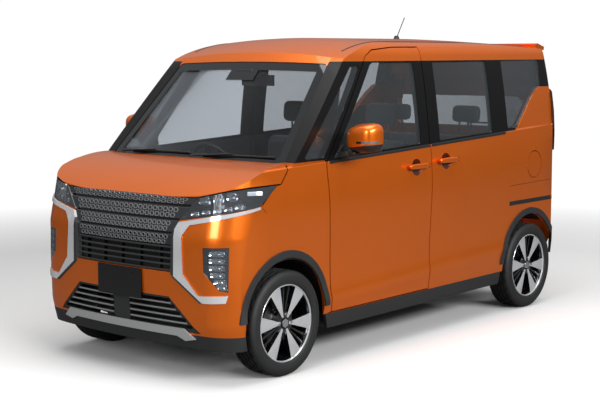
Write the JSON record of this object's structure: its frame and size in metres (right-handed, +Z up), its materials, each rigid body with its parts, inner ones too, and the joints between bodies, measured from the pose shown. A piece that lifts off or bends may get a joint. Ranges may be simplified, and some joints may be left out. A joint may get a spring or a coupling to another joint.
{
  "type": "kei car",
  "caption": "Tall boxy kei car with an upright nose, hollow glazed cabin, hinged front doors, bonnet, tailgate and fuel lid, steered front wheels and turning road wheels.",
  "frame": {"origin": "on the ground under the middle of the car's overall box", "axes": "+X forward, +Y to the car's left, +Z up"},
  "size_m": [3.395, 1.896, 1.9207],
  "materials": {
    "body_paint": "gloss",
    "tinted_glass": "gloss",
    "black_trim": "matte",
    "grille_grey": "satin",
    "bright_trim": "gloss",
    "silver_trim": "satin",
    "lamp_lens": "gloss",
    "mirror_face": "gloss",
    "alloy": "gloss",
    "tyre_rubber": "matte",
    "dark_metal": "satin",
    "dash_plastic": "matte",
    "seat_cloth": "matte"
  },
  "bodies": {
    "body": {"antenna": "black_trim", "body_sides": "body_paint", "cowl_panel": "black_trim", "dashboard": "dash_plastic", "engine_block": "dark_metal", "exhaust": "dark_metal", "fixed_side_glass": "tinted_glass", "floor_pan": "dark_metal", "front_bumper": "body_paint", "front_lamps": "lamp_lens", "front_plate": "black_trim", "front_seats": "seat_cloth", "front_structure": "dark_metal", "front_subframe": "dark_metal", "front_wings": "body_paint", "fuel_tank": "dark_metal", "interior_mirror": "black_trim", "lower_cladding": "black_trim", "lower_grille": "black_trim", "rear_axle": "dark_metal", "rear_bumper": "body_paint", "rear_seat": "seat_cloth", "roof_panel": "body_paint", "shield_trims": "bright_trim", "skid_plate": "silver_trim", "sliding_door_glass": "tinted_glass", "sliding_doors": "body_paint", "tail_lamps": "lamp_lens", "upper_grille": "grille_grey", "windscreen": "tinted_glass", "wipers": "black_trim"},
    "door_left": {"front_door_left": "body_paint", "front_door_glass_left": "tinted_glass", "door_mirror_left": "body_paint", "mirror_glass_left": "mirror_face"},
    "door_right": {"front_door_right": "body_paint", "front_door_glass_right": "tinted_glass", "door_mirror_right": "body_paint", "mirror_glass_right": "mirror_face"},
    "bonnet": {"bonnet": "body_paint"},
    "tailgate": {"tailgate": "body_paint", "tailgate_glass": "tinted_glass", "rear_spoiler": "body_paint", "rear_wiper": "black_trim"},
    "fuel_lid": {"fuel_lid": "body_paint"},
    "knuckle_left": {"knuckle_left": "dark_metal"},
    "knuckle_right": {"knuckle_right": "dark_metal"},
    "wheel_front_left": {"rim_front_left": "alloy", "tyre_front_left": "tyre_rubber", "brake_disc_left": "dark_metal"},
    "wheel_front_right": {"rim_front_right": "alloy", "tyre_front_right": "tyre_rubber", "brake_disc_right": "dark_metal"},
    "wheel_rear_left": {"rim_rear_left": "alloy", "tyre_rear_left": "tyre_rubber"},
    "wheel_rear_right": {"rim_rear_right": "alloy", "tyre_rear_right": "tyre_rubber"},
    "steering_wheel": {"steering_wheel": "black_trim"}
  },
  "joints": [
    {"name": "door_left_swing", "type": "hinge", "parent": "body", "child": "door_left", "pos_m": [0.78, 0.707, 0.7], "axis": [0, 0, -1], "range_deg": [0, 65]},
    {"name": "door_right_swing", "type": "hinge", "parent": "body", "child": "door_right", "pos_m": [0.78, -0.707, 0.7], "axis": [0, 0, 1], "range_deg": [0, 65]},
    {"name": "bonnet_lift", "type": "hinge", "parent": "body", "child": "bonnet", "pos_m": [1.187, 0, 1.102], "axis": [0, -1, 0], "range_deg": [0, 55]},
    {"name": "tailgate_lift", "type": "hinge", "parent": "body", "child": "tailgate", "pos_m": [-1.556, 0, 1.736], "axis": [0, 1, 0], "range_deg": [0, 80]},
    {"name": "fuel_lid_swing", "type": "hinge", "parent": "body", "child": "fuel_lid", "pos_m": [-1.2505, 0.7335, 0.955], "axis": [0, 0, -1], "range_deg": [0, 80]},
    {"name": "steer_left", "type": "hinge", "parent": "body", "child": "knuckle_left", "pos_m": [1.178, 0.6, 0.176], "axis": [0, -0.1627, 0.9867], "range_deg": [-34, 34]},
    {"name": "steer_right", "type": "hinge", "parent": "body", "child": "knuckle_right", "pos_m": [1.178, -0.6, 0.176], "axis": [0, 0.1627, 0.9867], "range_deg": [-34, 34]},
    {"name": "steering_wheel_turn", "type": "hinge", "parent": "body", "child": "steering_wheel", "pos_m": [0.575, -0.345, 0.985], "axis": [-0.8829, 0, 0.4695], "range_deg": [-545, 545]},
    {"name": "wheel_front_left_spin", "type": "hinge", "parent": "knuckle_left", "child": "wheel_front_left", "pos_m": [1.178, 0.645, 0.281], "axis": [0, 1, 0], "continuous": true},
    {"name": "wheel_front_right_spin", "type": "hinge", "parent": "knuckle_right", "child": "wheel_front_right", "pos_m": [1.178, -0.645, 0.281], "axis": [0, 1, 0], "continuous": true},
    {"name": "wheel_rear_left_spin", "type": "hinge", "parent": "body", "child": "wheel_rear_left", "pos_m": [-1.317, 0.645, 0.281], "axis": [0, 1, 0], "continuous": true},
    {"name": "wheel_rear_right_spin", "type": "hinge", "parent": "body", "child": "wheel_rear_right", "pos_m": [-1.317, -0.645, 0.281], "axis": [0, 1, 0], "continuous": true}
  ],
  "couplings": [
    {"joint": "steer_right", "follows": "steer_left", "ratio": 1},
    {"joint": "steering_wheel_turn", "follows": "steer_left", "ratio": 16}
  ]
}
